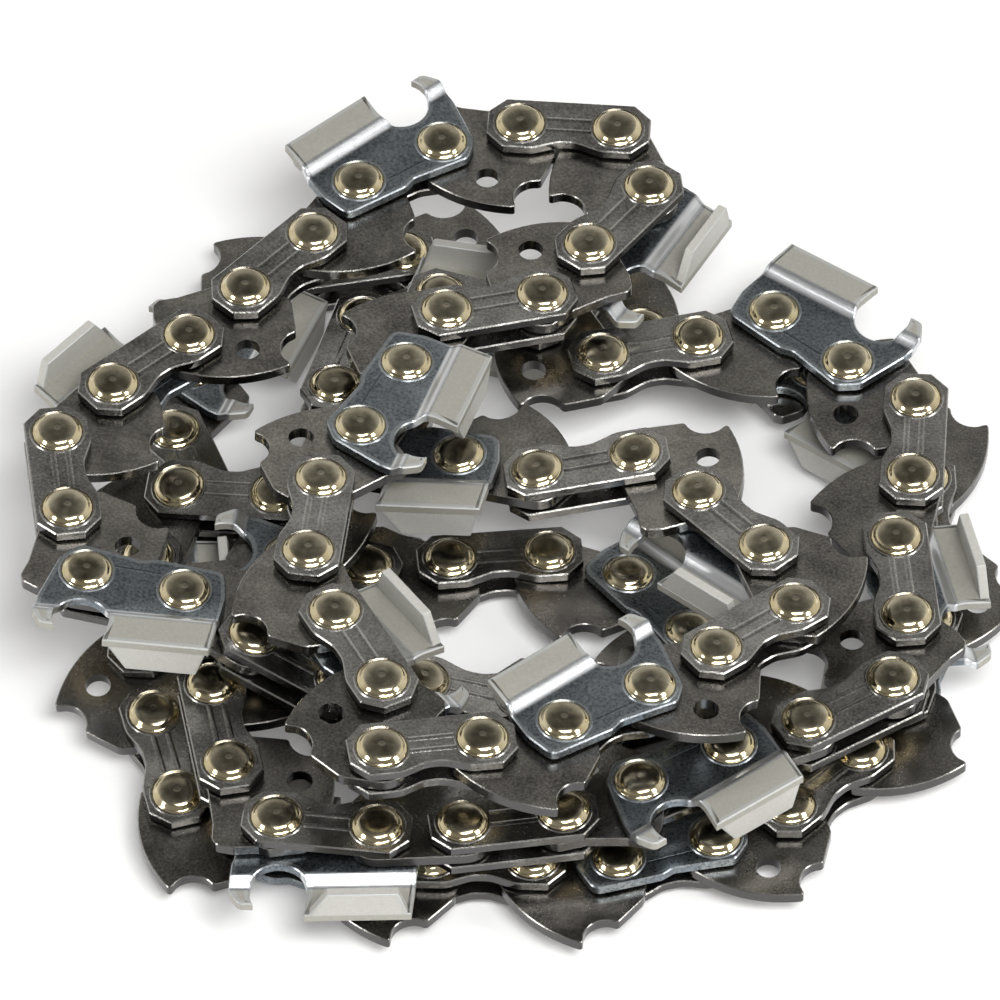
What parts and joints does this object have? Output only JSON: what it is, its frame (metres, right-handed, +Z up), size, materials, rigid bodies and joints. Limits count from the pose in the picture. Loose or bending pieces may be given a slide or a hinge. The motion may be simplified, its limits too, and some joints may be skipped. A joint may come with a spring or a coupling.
{
  "type": "chainsaw chain loop",
  "caption": "Closed loop of riveted saw chain, with cutters of both hands, tie straps and hooked drive links, lying loosely coiled; it runs round a guide bar and cuts wood.",
  "frame": {"origin": "on the floor, under the middle of the coil's box", "axes": "Z up from the floor, Y to the back of the picture, X to its right"},
  "size_m": [0.1018, 0.1026, 0.0215],
  "materials": {
    "cutter_plate": "satin plated steel, blue-grey, with a brighter bend and top plate",
    "strap_steel": "dark oily steel with fine grain and bright sheared edges",
    "link_steel": "dark oily steel, shiny side walls",
    "rivet_steel": "polished nickel with a warm tint"
  },
  "bodies": {
    "root": {"left_cutter_01": "cutter_plate", "left_cutter_02": "cutter_plate", "left_cutter_03": "cutter_plate", "left_cutter_04": "cutter_plate", "left_cutter_05": "cutter_plate", "left_cutter_06": "cutter_plate", "left_cutter_07": "cutter_plate", "left_cutter_08": "cutter_plate", "left_cutter_09": "cutter_plate", "left_cutter_10": "cutter_plate", "left_cutter_11": "cutter_plate", "left_cutter_12": "cutter_plate", "right_cutter_01": "cutter_plate", "right_cutter_02": "cutter_plate", "right_cutter_03": "cutter_plate", "right_cutter_04": "cutter_plate", "right_cutter_05": "cutter_plate", "right_cutter_06": "cutter_plate", "right_cutter_07": "cutter_plate", "right_cutter_08": "cutter_plate", "right_cutter_09": "cutter_plate", "right_cutter_10": "cutter_plate", "right_cutter_11": "cutter_plate", "right_cutter_12": "cutter_plate", "right_cutter_13": "cutter_plate", "cutter_straps": "strap_steel", "upper_tie_straps": "strap_steel", "lower_tie_straps": "strap_steel", "bumper_drive_links": "link_steel", "plain_drive_links": "link_steel", "rivets": "rivet_steel"}
  },
  "joints": []
}
